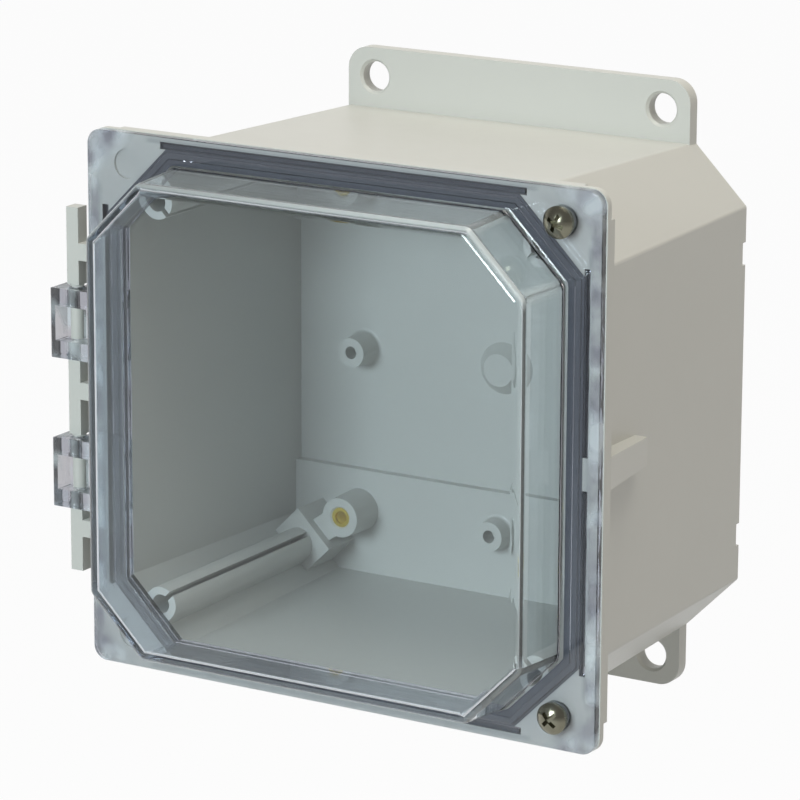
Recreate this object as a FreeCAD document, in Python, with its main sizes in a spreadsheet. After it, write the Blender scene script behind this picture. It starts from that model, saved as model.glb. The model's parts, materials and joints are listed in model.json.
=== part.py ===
import FreeCAD, Part
import math
import os

import Sketcher

# Hinged clear-cover enclosure, wall mounted.
# Frame: +X to the right, +Y into the wall, +Z up. The origin is the centre of the foot holes,
# in the plane of the wall. A "depth" is a distance from the wall towards the front, so y = -depth.
# All sizes are in millimetres. Left and right are as seen from the front.

SIZES = [
    # base, outside
    ("base_depth", 105.2, "wall plane to the front face of the rim"),
    ("body_front_width", 164.6, "across the flats at the rim"),
    ("body_front_height", 159.4, "across the flats at the rim"),
    ("body_front_leg", 21.8, "leg of the corner chamfer at the rim"),
    ("body_side_draft", 4.4, "the body is this much narrower at the wall, each side"),
    ("body_end_draft", 3.5, "the body is this much lower at the wall, each end"),
    ("body_back_leg", 17.8, "leg of the corner chamfer at the wall"),
    ("body_edge_radius", 1.4, "rounding of the long edges"),
    ("wall", 3.5, "side wall"),
    # rim of the base
    ("rim_side", 5.7, "rim beyond the body, left and right"),
    ("rim_end", 3.3, "rim beyond the body, above and below"),
    ("rim_corner_radius", 5.0, "corner of the rim"),
    ("rim_lip", 2.2, "thickness of the rim at its corners"),
    ("rim_step", 2.0, "extra thickness along the straight sides"),
    ("rim_step_stop", 9.0, "the thicker part stops this far from each corner"),
    ("channel_width", 2.2, "drain channel in the face of the rim"),
    ("channel_depth", 2.0, "drain channel in the face of the rim"),
    ("channel_offset", 0.2, "middle of the channel outside the body's outer line"),
    ("channel_overrun", 2.0, "the channel runs this far past the chamfer's corner"),
    # floor of the base
    ("floor_standoff", 5.0, "depth of the cored back under the floor's middle"),
    ("floor_thickness", 4.0, "floor over the coring"),
    ("floor_band_rise", 3.0, "upper and lower bands of the floor stand this much higher"),
    ("floor_band_edge", 39.4, "height at which the raised bands start"),
    ("back_groove_depth", 2.0, "cross grooves in the back face"),
    ("back_groove_low", 40.5, "lower edge of the upper groove"),
    ("back_groove_high", 47.5, "upper edge of the upper groove"),
    # mounting feet
    ("foot_side_margin", 9.7, "middle of a foot's hole to the foot's side"),
    ("foot_end_margin", 9.2, "middle of a foot's hole to the foot's end"),
    ("foot_thickness", 4.5, "foot plate"),
    ("foot_corner_radius", 7.0, "outer corners of the feet"),
    ("foot_hole_radius", 4.75, "hole for a 8 mm or 5/16 screw"),
    ("foot_hole_pitch_across", 101.6, "hole spacing across"),
    ("foot_hole_clear", 9.9, "middle of a foot's hole beyond the body"),
    ("foot_hole_break", 0.8, "softened front edge of the holes"),
    # bosses inside the base
    ("panel_pitch_across", 101.6, "spacing of the threaded inserts for a back panel"),
    ("panel_pitch_up", 105.0, "spacing of the threaded inserts for a back panel"),
    ("panel_boss_radius", 6.4, "boss round each insert, at its face"),
    ("panel_boss_draft", 2.4, "draft of the insert bosses, in degrees"),
    ("panel_boss_top", 24.0, "depth of the insert bosses' faces"),
    ("panel_boss_web", 8.4, "width of the web from an insert boss to its corner tube"),
    ("panel_boss_mouth", 0.5, "broken edge round each insert's mouth"),
    ("panel_insert_radius", 3.2, "outside of the insert"),
    ("panel_insert_bore", 2.1, "thread of the insert"),
    ("panel_insert_length", 8.0, "length of the insert"),
    ("panel_insert_sink", 0.6, "insert below the boss's face"),
    ("small_boss_radius", 4.7, "plain boss, at its face"),
    ("small_boss_draft", 5.0, "draft of the plain bosses, in degrees"),
    ("small_boss_root_radius", 1.0, "rounded root of the plain bosses"),
    ("small_boss_bore", 2.05, "pilot hole of the plain boss"),
    ("small_boss_top", 17.5, "depth of the plain bosses' faces"),
    ("centre_pad_radius", 8.3, "round pad in the middle of the floor, at its root"),
    ("centre_pad_face_radius", 5.2, "round pad in the middle of the floor, at its face"),
    ("centre_pad_rise", 3.5, "round pad in the middle of the floor"),
    ("tube_side_inset", 13.3, "middle of a corner tube inside the body's side, at the wall"),
    ("tube_end_inset", 13.8, "middle of a corner tube inside the body's end, at the wall"),
    ("tube_radius", 5.4, "outside of a tube"),
    ("tube_bore", 3.0, "inside of a tube"),
    ("tube_slot", 1.6, "slot along the tube's inner side"),
    ("tube_neck", 4.5, "its neck to the wall ends this far past its middle, each way"),
    ("tube_setback", 1.2, "tube ends this far behind the face of the rim"),
    ("tube_bore_end", 27.0, "depth at which bore and slot of a tube end"),
    ("tube_block_width", 16.6, "square block that a tube stands on"),
    ("tube_block_reach", 5.8, "the block reaches this far in from the tube's middle, each way"),
    # latch boss on the right wall
    ("latch_boss_height", 9.7, "height at the rim"),
    ("latch_boss_end_height", 8.5, "height at its back end"),
    ("latch_boss_length", 27.0, "length behind the rim"),
    ("latch_boss_end_out", 4.2, "it stands this far off the wall at its back end"),
    ("latch_boss_up", 0.2, "its middle stands this far above the centre"),
    # hinge
    ("hinge_out", 8.5, "hinge axis outside the edge of the rim"),
    ("hinge_back", 3.5, "hinge axis behind the face of the rim"),
    ("hinge_pin_radius", 2.15, "round stretches of the rail"),
    ("hinge_clearance", 0.1, "radial clearance of pin and knuckle"),
    ("rail_length", 114.0, "length of the rail"),
    ("rail_depth", 4.6, "rail, front to back"),
    ("rail_web", 5.3, "height of a web"),
    ("rail_web_pitch", 43.4, "spacing of the webs"),
    ("rail_ledge", 5.0, "thickness of the ledge behind the rail"),
    ("knuckle_height", 21.7, "height of a knuckle"),
    ("knuckle_pitch", 46.8, "spacing of the knuckles"),
    ("knuckle_drop", 1.9, "middle of the pair below the centre"),
    ("knuckle_play", 0.65, "gap above and below a knuckle"),
    ("knuckle_outer", 5.9, "axis to the outer face of the knuckle"),
    ("knuckle_inner", 7.0, "axis to the inner face of the knuckle's deep part"),
    ("knuckle_depth", 9.5, "knuckle, front to back"),
    ("knuckle_window", 10.8, "height of the window in a knuckle"),
    ("knuckle_wall", 2.0, "outer wall beside the window"),
    ("knuckle_edge_radius", 0.8, "rounding of the outer edges"),
    ("snap_slot", 3.5, "slot that snaps over the pin"),
    # cover
    ("cover_inset", 0.2, "edge of the cover inside the edge of the rim"),
    ("cover_corner_radius", 4.5, "corner of the cover"),
    ("flange_thickness", 2.5, "flange of the cover"),
    ("flange_edge_radius", 0.5, "rounding of the flange's front edge"),
    ("seat_gap", 0.3, "cover to rim, held open by the gasket"),
    ("window_side_draft", 1.4, "the raised window is narrower at its front, each side"),
    ("window_end_draft", 1.3, "the raised window is lower at its front, each end"),
    ("window_leg_draft", 0.8, "its corner chamfer's leg is shorter at the front"),
    ("window_rise", 21.5, "raised window in front of the flange"),
    ("window_side_inset", 6.4, "root of the raised window inside the body's side"),
    ("window_end_inset", 5.6, "root of the raised window inside the body's end"),
    ("window_leg_loss", 2.7, "its corner chamfer's leg is shorter than the body's"),
    ("window_wall", 2.5, "wall of the raised window"),
    ("window_edge_radius", 3.2, "rounding of the outer edges"),
    ("window_inner_radius", 1.2, "rounding of the inner edges"),
    ("window_foot_radius", 1.5, "rounding where the window meets the flange"),
    ("rib_width", 1.2, "rib of the cover that hangs in the channel"),
    ("rib_height", 1.4, "rib of the cover that hangs in the channel"),
    # gasket
    ("gasket_inset", 2.5, "middle of the gasket inside the body's outer line"),
    ("gasket_width", 2.0, "poured gasket"),
    ("gasket_groove", 1.0, "groove in the flange"),
    ("gasket_relief", 0.05, "gasket clear of the rim"),
    # cover screws
    ("screw_side_margin", 13.5, "middle of a cover screw to the side of the rim"),
    ("screw_end_margin", 10.0, "middle of a cover screw to the end of the rim"),
    ("screw_shank_radius", 2.2, "mean radius of the thread"),
    ("screw_hole_radius", 2.65, "hole in the cover"),
    ("screw_head_radius", 4.75, "pan head"),
    ("screw_head_edge", 1.2, "straight edge of the head"),
    ("screw_head_dome", 2.0, "dome over the edge"),
    ("screw_length", 12.3, "under the head"),
    ("screw_recess_depth", 2.2, "cross recess"),
    ("screw_recess_arm", 2.7, "cross recess, middle to end"),
    ("screw_recess_width", 1.2, "cross recess"),
    ("screw_turn_upper", 25.0, "turn of the upper screw's cross, in degrees"),
    ("screw_turn_lower", 45.0, "turn of the lower screw's cross, in degrees"),
    ("seal_washer_radius", 4.2, "washer under the head"),
    ("seal_washer_bore", 2.3, "washer under the head"),
    ("seal_washer_thickness", 0.6, "washer under the head"),
    ("retainer_radius", 4.0, "ring that keeps the screw in the cover"),
    ("retainer_thickness", 1.0, "ring that keeps the screw in the cover"),
    ("retainer_bore", 2.3, "ring that keeps the screw in the cover"),
    ("retainer_room", 0.6, "clearance round the retainer"),
    ("spare_recess", 0.8, "shallow round recess in the two left corners of the rim"),
    ("corner_boss_radius", 5.0, "boss behind the corner of the rim"),
    ("corner_boss_length", 10.0, "boss behind the corner of the rim"),
    ("corner_boss_tie", 5.0, "web that ties the boss to the wall"),
    ("corner_insert_radius", 3.2, "outside of the insert"),
    ("corner_insert_bore", 2.35, "thread of the insert"),
    ("corner_insert_length", 8.0, "length of the insert"),
    ("insert_fit", 0.02, "play of an insert in its boss"),
]


class Size:
    """A length that knows both its number and the formula that ties it to the sheet."""

    def __init__(self, value, formula):
        self.value = value
        self.formula = formula

    def _join(self, sign, other, turned=False):
        other = other if isinstance(other, Size) else Size(float(other), repr(float(other)))
        first, second = (other, self) if turned else (self, other)
        values = {
            "+": first.value + second.value,
            "-": first.value - second.value,
            "*": first.value * second.value,
            "/": first.value / second.value if second.value else 0.0,
        }
        return Size(values[sign], f"({first.formula} {sign} {second.formula})")

    def __add__(self, other):
        return self._join("+", other)

    def __radd__(self, other):
        return self._join("+", other, turned=True)

    def __sub__(self, other):
        return self._join("-", other)

    def __rsub__(self, other):
        return self._join("-", other, turned=True)

    def __mul__(self, other):
        return self._join("*", other)

    def __rmul__(self, other):
        return self._join("*", other, turned=True)

    def __truediv__(self, other):
        return self._join("/", other)

    def __neg__(self):
        return self._join("-", 0, turned=True)


class Sizes:
    """The sheet's sizes, read as attributes."""

    def __init__(self, doc):
        sheet = doc.addObject("Spreadsheet::Sheet", "sizes")
        for row, (alias, value, note) in enumerate(SIZES, start=1):
            sheet.set(f"A{row}", alias)
            sheet.set(f"B{row}", str(value))
            sheet.set(f"C{row}", note)
            sheet.setAlias(f"B{row}", alias)
            setattr(self, alias, Size(float(value), f"sizes.{alias}"))
        doc.recompute()


doc = FreeCAD.newDocument("enclosure")
s = Sizes(doc)

# An offset t of a 45 degree chamfer shortens its leg by t times this
LEG_LOSS = 2 - math.sqrt(2)
# Extra reach that makes a cut or a joint between two features certain
REACH = 1.0

# Sizes and places that follow
body_back_width = s.body_front_width - 2 * s.body_side_draft
body_back_height = s.body_front_height - 2 * s.body_end_draft
rim_width = s.body_front_width + 2 * s.rim_side
rim_height = s.body_front_height + 2 * s.rim_end
foot_hole_pitch_up = body_back_height + 2 * s.foot_hole_clear
tube_across = body_back_width - 2 * s.tube_side_inset
tube_up = body_back_height - 2 * s.tube_end_inset
window_root_width = s.body_front_width - 2 * s.window_side_inset
window_root_height = s.body_front_height - 2 * s.window_end_inset
window_root_leg = s.body_front_leg - s.window_leg_loss
window_front_width = window_root_width - 2 * s.window_side_draft
window_front_height = window_root_height - 2 * s.window_end_draft
window_front_leg = window_root_leg - s.window_leg_draft
screw_across = rim_width / 2 - s.screw_side_margin
pin_x = -(rim_width / 2 + s.hinge_out)
pin_depth = s.base_depth - s.hinge_back
floor_depth = s.floor_standoff + s.floor_thickness
band_depth = floor_depth + s.floor_band_rise
cover_back = s.base_depth + s.seat_gap
cover_front = cover_back + s.flange_thickness
window_front = cover_front + s.window_rise
cover_half_width = rim_width / 2 - s.cover_inset
cover_half_height = rim_height / 2 - s.cover_inset
foot_half_width = s.foot_hole_pitch_across / 2 + s.foot_side_margin
foot_top = foot_hole_pitch_up / 2 + s.foot_end_margin
step_face = s.base_depth - s.rim_lip
rim_back = step_face - s.rim_step
screw_up = rim_height / 2 - s.screw_end_margin
insert_face = cover_back - s.retainer_thickness - 0.8


# Helpers for sketches and features

def bind(target, path, size):
    """Tie a property to a size; a plain number is set as it is."""
    formula = size.formula if isinstance(size, Size) else repr(float(size))
    target.setExpression(path, formula)


def number(size):
    return size.value if isinstance(size, Size) else float(size)


def sketch_on(body, role, name, lift=0.0):
    """A sketch on one of the body's own planes, lifted off it along the plane's normal.

    On the XZ plane the normal is -Y, so the lift is a depth and the sketch's axes are X and Z.
    """
    plane = next(f for f in body.Origin.OriginFeatures if f.Role == role)
    sketch = body.newObject("Sketcher::SketchObject", name)
    sketch.AttachmentSupport = [(plane, "")]
    sketch.MapMode = "FlatFace"
    bind(sketch, "AttachmentOffset.Base.z", lift)
    return sketch


def front_sketch(body, name, depth):
    return sketch_on(body, "XZ_Plane", name, depth)


def fix_size(sketch, kind, size, *where):
    index = sketch.addConstraint(Sketcher.Constraint(kind, *where, number(size)))
    bind(sketch, f"Constraints[{index}]", size)


def fix_point(sketch, curve, end, x, y):
    fix_size(sketch, "DistanceX", x, -1, 1, curve, end)
    fix_size(sketch, "DistanceY", y, -1, 1, curve, end)


def vector(x, y):
    return FreeCAD.Vector(number(x), number(y), 0)


def outline(sketch, points):
    """Closed outline of straight lines through the points."""
    ring = points[1:] + points[:1]
    lines = [sketch.addGeometry(Part.LineSegment(vector(*a), vector(*b)), False)
             for a, b in zip(points, ring)]
    for line, following, point in zip(lines, lines[1:] + lines[:1], ring):
        sketch.addConstraint(Sketcher.Constraint("Coincident", line, 2, following, 1))
        fix_point(sketch, following, 1, *point)


def rectangle(sketch, left, right, low, high):
    outline(sketch, [(left, low), (right, low), (right, high), (left, high)])


def octagon(sketch, half_width, half_height, leg):
    w, h = half_width, half_height
    outline(sketch, [
        (w, leg - h), (w, h - leg), (w - leg, h), (leg - w, h),
        (-w, h - leg), (-w, leg - h), (leg - w, -h), (w - leg, -h),
    ])


def circle(sketch, x, y, radius):
    ring = Part.Circle(vector(x, y), FreeCAD.Vector(0, 0, 1), number(radius))
    curve = sketch.addGeometry(ring, False)
    fix_point(sketch, curve, 3, x, y)
    fix_size(sketch, "Radius", radius, curve)


def rounded_rectangle(sketch, half_width, half_height, radius):
    """Four sides and four quarter arcs, from the lower right corner round."""
    w, h = half_width, half_height
    inner_w, inner_h = w - radius, h - radius
    sides = [((w, -inner_h), (w, inner_h)), ((inner_w, h), (-inner_w, h)),
             ((-w, inner_h), (-w, -inner_h)), ((-inner_w, -h), (inner_w, -h))]
    centres = [(inner_w, inner_h), (-inner_w, inner_h), (-inner_w, -inner_h), (inner_w, -inner_h)]
    lines, arcs = [], []
    for turn, ((start, end), centre) in enumerate(zip(sides, centres)):
        lines.append(sketch.addGeometry(Part.LineSegment(vector(*start), vector(*end)), False))
        ring = Part.Circle(vector(*centre), FreeCAD.Vector(0, 0, 1), number(radius))
        first = turn * math.pi / 2
        arcs.append(sketch.addGeometry(Part.ArcOfCircle(ring, first, first + math.pi / 2), False))
    for turn, (start, end) in enumerate(sides):
        fix_point(sketch, lines[turn], 1, *start)
        fix_point(sketch, lines[turn], 2, *end)
        sketch.addConstraint(Sketcher.Constraint("Coincident", lines[turn], 2, arcs[turn], 1))
        sketch.addConstraint(Sketcher.Constraint("Coincident", arcs[turn - 1], 2, lines[turn], 1))
        fix_size(sketch, "Radius", radius, arcs[turn])


def built(body, feature, grows):
    """Recompute and make sure that the feature added or took away material."""
    before = body.Shape.Volume if body.Shape and not body.Shape.isNull() else 0.0
    doc.recompute()
    change = feature.Shape.Volume - before
    if (change > 0) != grows:
        raise RuntimeError(f"{feature.Label} changed the volume by {change:.3f}")
    return feature


def pad(body, name, sketch, length, to_wall=False, draft=None):
    """Add material from the sketch towards the front, or towards the wall.

    A draft in degrees makes the material wider with the distance from the sketch.
    """
    feature = body.newObject("PartDesign::Pad", name)
    feature.Profile = sketch
    bind(feature, "Length", length)
    feature.Reversed = to_wall
    if draft is not None:
        bind(feature, "TaperAngle", draft)
    return built(body, feature, True)


def pocket(body, name, sketch, length, to_front=False, middle=False):
    """Take material away from the sketch towards the wall, or towards the front."""
    feature = body.newObject("PartDesign::Pocket", name)
    feature.Profile = sketch
    bind(feature, "Length", length)
    feature.Reversed = to_front
    feature.Midplane = middle
    return built(body, feature, False)


def loft(body, name, first, last, cut=False):
    kind = "PartDesign::SubtractiveLoft" if cut else "PartDesign::AdditiveLoft"
    feature = body.newObject(kind, name)
    feature.Profile = first
    feature.Sections = [last]
    feature.Ruled = True
    return built(body, feature, not cut)


def soften(body, name, kind, size, wanted):
    """Fillet or chamfer the edges of the body's last feature that pass the test."""
    base = body.Tip
    names = [f"Edge{i}" for i, edge in enumerate(base.Shape.Edges, start=1) if wanted(edge)]
    if not names:
        raise RuntimeError(f"{name} found no edge")
    feature = body.newObject(f"PartDesign::{kind}", name)
    feature.Base = (base, names)
    bind(feature, "Radius" if kind == "Fillet" else "Size", size)
    doc.recompute()
    return feature


def ends(edge):
    return [v.Point for v in edge.Vertexes]


def at_depth(edge, depth):
    return all(abs(p.y + number(depth)) < 1e-4 for p in ends(edge))


def new_body(label):
    body = doc.addObject("PartDesign::Body", label)
    body.Label = label
    return body


def taper(back, front, depth):
    """Size of the tapered body at a depth."""
    return back + (front - back) * depth / s.base_depth


def body_octagon(sketch, depth, inset):
    """The body's section at a depth, moved in by an inset."""
    half_width = taper(body_back_width, s.body_front_width, depth) / 2 - inset
    half_height = taper(body_back_height, s.body_front_height, depth) / 2 - inset
    leg = taper(s.body_back_leg, s.body_front_leg, depth) - inset * LEG_LOSS
    octagon(sketch, half_width, half_height, leg)


def four_ways(x, z):
    return [(i, k, i * x, k * z) for i in (1, -1) for k in (1, -1)]


def diagonal_bar(sketch, x0, z0, x1, z1, half, i, k):
    """A bar along a corner's diagonal, in the quadrant with the signs i and k."""
    w = half / math.sqrt(2)
    outline(sketch, [(i * (x0 - w), k * (z0 + w)), (i * (x0 + w), k * (z0 - w)),
                     (i * (x1 + w), k * (z1 - w)), (i * (x1 - w), k * (z1 + w))])


def make_base():
    """Moulded base: tapered octagonal body, rim, feet, hinge rail, bosses and tubes."""
    body = new_body("base")
    base_shell(body)
    base_rim(body)
    base_feet(body)
    base_hinge_rail(body)
    base_corner_bosses(body)
    base_latch_boss(body)
    base_cavity(body)
    base_floor(body)
    base_channels(body)
    return body


def base_shell(body):
    back = front_sketch(body, "shell_back", 0.0)
    body_octagon(back, Size(0.0, "0.0"), Size(0.0, "0.0"))
    front = front_sketch(body, "shell_front", s.base_depth)
    octagon(front, s.body_front_width / 2, s.body_front_height / 2, s.body_front_leg)
    loft(body, "shell", back, front)
    soften(body, "shell_edges", "Fillet", s.body_edge_radius,
           lambda edge: not at_depth(edge, s.base_depth) and not at_depth(edge, 0))


def base_rim(body):
    lip = front_sketch(body, "rim_outline", s.base_depth)
    rounded_rectangle(lip, rim_width / 2, rim_height / 2, s.rim_corner_radius)
    pad(body, "rim_lip", lip, s.rim_lip, to_wall=True)
    step = front_sketch(body, "step_outline", step_face)
    w, h, stop = rim_width / 2, rim_height / 2, s.rim_step_stop
    outline(step, [
        (w, stop - h), (w, h - stop), (w - stop, h - stop), (w - stop, h),
        (stop - w, h), (stop - w, h - stop), (-w, h - stop), (-w, stop - h),
        (stop - w, stop - h), (stop - w, -h), (w - stop, -h), (w - stop, stop - h),
    ])
    pad(body, "rim_step", step, s.rim_step, to_wall=True)


def base_feet(body):
    plates = front_sketch(body, "feet_outline", 0.0)
    w, top, root = foot_half_width, foot_top, body_back_height / 2 - s.wall
    rectangle(plates, -w, w, root, top)
    rectangle(plates, -w, w, -top, -root)
    pad(body, "feet", plates, s.foot_thickness)
    soften(body, "feet_corners", "Fillet", s.foot_corner_radius,
           lambda edge: all(abs(abs(p.z) - number(top)) < 1e-4 for p in ends(edge))
           and abs(ends(edge)[0].x - ends(edge)[-1].x) < 1e-4)
    holes = front_sketch(body, "foot_hole_rings", s.foot_thickness)
    for _, _, x, z in four_ways(s.foot_hole_pitch_across / 2, foot_hole_pitch_up / 2):
        circle(holes, x, z, s.foot_hole_radius)
    pocket(body, "foot_holes", holes, s.foot_thickness)
    soften(body, "foot_hole_edges", "Chamfer", s.foot_hole_break,
           lambda edge: at_depth(edge, s.foot_thickness) and edge.Curve.TypeId == "Part::GeomCircle"
           and abs(edge.Curve.Radius - number(s.foot_hole_radius)) < 1e-4)


def base_hinge_rail(body):
    """Comb rail: a bar on three webs, with a round stretch for each knuckle."""
    edge = -(rim_width / 2)
    half = s.hinge_pin_radius
    rail_face = pin_depth + s.rail_depth / 2
    end, web = s.rail_length / 2, s.rail_web / 2
    ledge = front_sketch(body, "ledge_outline", rim_back)
    rectangle(ledge, edge, -(s.body_front_width / 2) + s.wall / 2, -end, end)
    pad(body, "rail_ledge", ledge, s.rail_ledge, to_wall=True)
    webs = front_sketch(body, "web_outlines", rail_face)
    for step in (-1, 0, 1):
        middle = step * s.rail_web_pitch
        rectangle(webs, pin_x, edge + REACH, middle - web, middle + web)
    pad(body, "rail_webs", webs, s.rail_depth, to_wall=True)
    bars = front_sketch(body, "bar_outlines", rail_face)
    reach = s.knuckle_height / 2 + s.knuckle_play
    upper, lower = knuckle_middles()
    for low, high in ((-end, lower - reach), (lower + reach, upper - reach), (upper + reach, end)):
        rectangle(bars, pin_x - half, pin_x + half, low, high)
    pad(body, "rail_bars", bars, s.rail_depth, to_wall=True)
    pin = sketch_on(body, "XY_Plane", "pin_ring", lower - reach - REACH)
    circle(pin, pin_x, -pin_depth, s.hinge_pin_radius)
    pad(body, "rail_pin", pin, s.knuckle_pitch + 2 * (reach + REACH))


def knuckle_middles():
    return s.knuckle_pitch / 2 - s.knuckle_drop, -(s.knuckle_pitch / 2) - s.knuckle_drop


def base_corner_bosses(body):
    """Bosses behind the four corners of the rim; the two right ones take the cover screws."""
    rings = front_sketch(body, "corner_boss_rings", step_face)
    for _, _, x, z in four_ways(screw_across, screw_up):
        circle(rings, x, z, s.corner_boss_radius)
    pad(body, "corner_bosses", rings, s.corner_boss_length, to_wall=True)
    ties = front_sketch(body, "corner_tie_outlines", step_face)
    for i, k, _, _ in four_ways(screw_across, screw_up):
        diagonal_bar(ties, screw_across, screw_up, screw_across - s.corner_boss_tie,
                     screw_up - s.corner_boss_tie, s.corner_boss_tie / 2, i, k)
    pad(body, "corner_ties", ties, s.corner_boss_length, to_wall=True)


def base_latch_boss(body):
    """Tapered boss along the right wall, behind the rim."""
    end_depth = rim_back - s.latch_boss_length
    end_out = taper(body_back_width, s.body_front_width, end_depth) / 2 + s.latch_boss_end_out
    sections = []
    for name, depth, height, out in (
            ("latch_boss_front", rim_back, s.latch_boss_height, rim_width / 2),
            ("latch_boss_end", end_depth, s.latch_boss_end_height, end_out)):
        root = taper(body_back_width, s.body_front_width, depth) / 2 - s.wall / 2
        section = front_sketch(body, name, depth)
        middle = s.latch_boss_up
        rectangle(section, root, out, middle - height / 2, middle + height / 2)
        sections.append(section)
    loft(body, "latch_boss", *sections)


def base_cavity(body):
    """Hollow the body from the front and core it from the back."""
    low = front_sketch(body, "cavity_floor", floor_depth)
    body_octagon(low, floor_depth, s.wall)
    high = front_sketch(body, "cavity_mouth", s.base_depth)
    body_octagon(high, s.base_depth, s.wall)
    loft(body, "cavity", low, high, cut=True)
    band = front_sketch(body, "band_outlines", floor_depth - REACH)
    grow = s.wall / 2
    half_width = taper(body_back_width, s.body_front_width, floor_depth) / 2 - grow
    half_height = taper(body_back_height, s.body_front_height, floor_depth) / 2 - grow
    leg = taper(s.body_back_leg, s.body_front_leg, floor_depth) - grow * LEG_LOSS
    for k in (1, -1):
        outline(band, [
            (half_width, k * s.floor_band_edge), (half_width, k * (half_height - leg)),
            (half_width - leg, k * half_height), (leg - half_width, k * half_height),
            (-half_width, k * (half_height - leg)), (-half_width, k * s.floor_band_edge),
        ])
    pad(body, "floor_bands", band, s.floor_band_rise + REACH)
    core_back(body)


def core_back(body):
    """Recesses that keep the back's walls even, and the two cross grooves."""
    w = body_back_width / 2 - s.wall
    h = body_back_height / 2 - s.wall
    leg = s.body_back_leg - s.wall * LEG_LOSS
    middle = front_sketch(body, "middle_core_outline", 0.0)
    rectangle(middle, -w, w, -s.floor_band_edge, s.floor_band_edge)
    pocket(body, "middle_core", middle, s.floor_standoff, to_front=True)
    bands = front_sketch(body, "band_core_outlines", 0.0)
    start = s.back_groove_high + s.wall / 2
    for k in (1, -1):
        outline(bands, [
            (w, k * start), (w, k * (h - leg)), (w - leg, k * h),
            (leg - w, k * h), (-w, k * (h - leg)), (-w, k * start),
        ])
    pocket(body, "band_cores", bands, s.floor_standoff + s.floor_band_rise, to_front=True)
    grooves = front_sketch(body, "back_groove_outlines", 0.0)
    side = body_back_width / 2 + REACH
    rectangle(grooves, -side, side, s.back_groove_low, s.back_groove_high)
    rectangle(grooves, -side, side, -s.back_groove_high, -s.back_groove_low)
    pocket(body, "back_grooves", grooves, s.back_groove_depth, to_front=True)


def base_floor(body):
    """Slotted tubes in the corners, insert bosses, plain bosses and the round pad."""
    inside = floor_depth - REACH
    tube_x, tube_z = tube_across / 2, tube_up / 2
    panel_x, panel_z = s.panel_pitch_across / 2, s.panel_pitch_up / 2
    tube_face = s.base_depth - s.tube_setback

    tubes = front_sketch(body, "tube_rings", inside)
    for _, _, x, z in four_ways(tube_x, tube_z):
        circle(tubes, x, z, s.tube_radius)
    pad(body, "tubes", tubes, tube_face - inside)
    necks = front_sketch(body, "tube_neck_outlines", inside)
    for i, k, _, _ in four_ways(tube_x, tube_z):
        diagonal_bar(necks, tube_x, tube_z, tube_x + s.tube_neck, tube_z + s.tube_neck,
                     s.tube_radius, i, k)
    pad(body, "tube_necks", necks, tube_face - inside)
    blocks = front_sketch(body, "tube_block_outlines", inside)
    for i, k, _, _ in four_ways(tube_x, tube_z):
        diagonal_bar(blocks, tube_x - s.tube_block_reach, tube_z - s.tube_block_reach,
                     tube_x + s.tube_neck, tube_z + s.tube_neck, s.tube_block_width / 2, i, k)
    pad(body, "tube_blocks", blocks, s.tube_bore_end - inside)

    bosses = front_sketch(body, "panel_boss_rings", s.panel_boss_top)
    for _, _, x, z in four_ways(panel_x, panel_z):
        circle(bosses, x, z, s.panel_boss_radius)
    pad(body, "panel_bosses", bosses, s.panel_boss_top - inside, True, s.panel_boss_draft)
    webs = front_sketch(body, "panel_web_outlines", inside)
    for i, k, _, _ in four_ways(panel_x, panel_z):
        diagonal_bar(webs, panel_x, panel_z, tube_x, tube_z, s.panel_boss_web / 2, i, k)
    pad(body, "panel_webs", webs, s.panel_boss_top - inside)

    plain = front_sketch(body, "small_boss_rings", s.small_boss_top)
    places = [(panel_x, Size(0.0, "0.0")), (-panel_x, Size(0.0, "0.0")),
              (Size(0.0, "0.0"), panel_z), (Size(0.0, "0.0"), -panel_z)]
    for x, z in places:
        circle(plain, x, z, s.small_boss_radius)
    pad(body, "small_bosses", plain, s.small_boss_top - inside, True, s.small_boss_draft)
    soften(body, "small_boss_roots", "Fillet", s.small_boss_root_radius, small_boss_root)
    centre = []
    for name, depth, radius in (("centre_pad_root", floor_depth, s.centre_pad_radius),
                                ("centre_pad_face", floor_depth + s.centre_pad_rise,
                                 s.centre_pad_face_radius)):
        centre.append(front_sketch(body, name, depth))
        circle(centre[-1], 0.0, 0.0, radius)
    loft(body, "centre_pad", *centre)

    bores = front_sketch(body, "tube_bore_rings", tube_face)
    for _, _, x, z in four_ways(tube_x, tube_z):
        circle(bores, x, z, s.tube_bore)
    pocket(body, "tube_bores", bores, tube_face - s.tube_bore_end)
    slots = front_sketch(body, "tube_slot_outlines", tube_face)
    for i, k, _, _ in four_ways(tube_x, tube_z):
        diagonal_bar(slots, tube_x, tube_z, tube_x - s.tube_radius, tube_z - s.tube_radius,
                     s.tube_slot / 2, i, k)
    pocket(body, "tube_slots", slots, tube_face - s.tube_bore_end)

    seats = front_sketch(body, "panel_insert_seats", s.panel_boss_top)
    for _, _, x, z in four_ways(panel_x, panel_z):
        circle(seats, x, z, s.panel_insert_radius + s.insert_fit)
    pocket(body, "panel_insert_bores", seats, s.panel_insert_length + s.panel_insert_sink)
    soften(body, "panel_boss_mouths", "Chamfer", s.panel_boss_mouth,
           lambda edge: at_depth(edge, s.panel_boss_top) and edge.Curve.TypeId == "Part::GeomCircle"
           and abs(edge.Curve.Radius - number(s.panel_insert_radius + s.insert_fit)) < 1e-4)
    pilots = front_sketch(body, "small_boss_bores", s.small_boss_top)
    for x, z in places:
        circle(pilots, x, z, s.small_boss_bore)
    pocket(body, "small_boss_holes", pilots, s.small_boss_top - band_depth)


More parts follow.
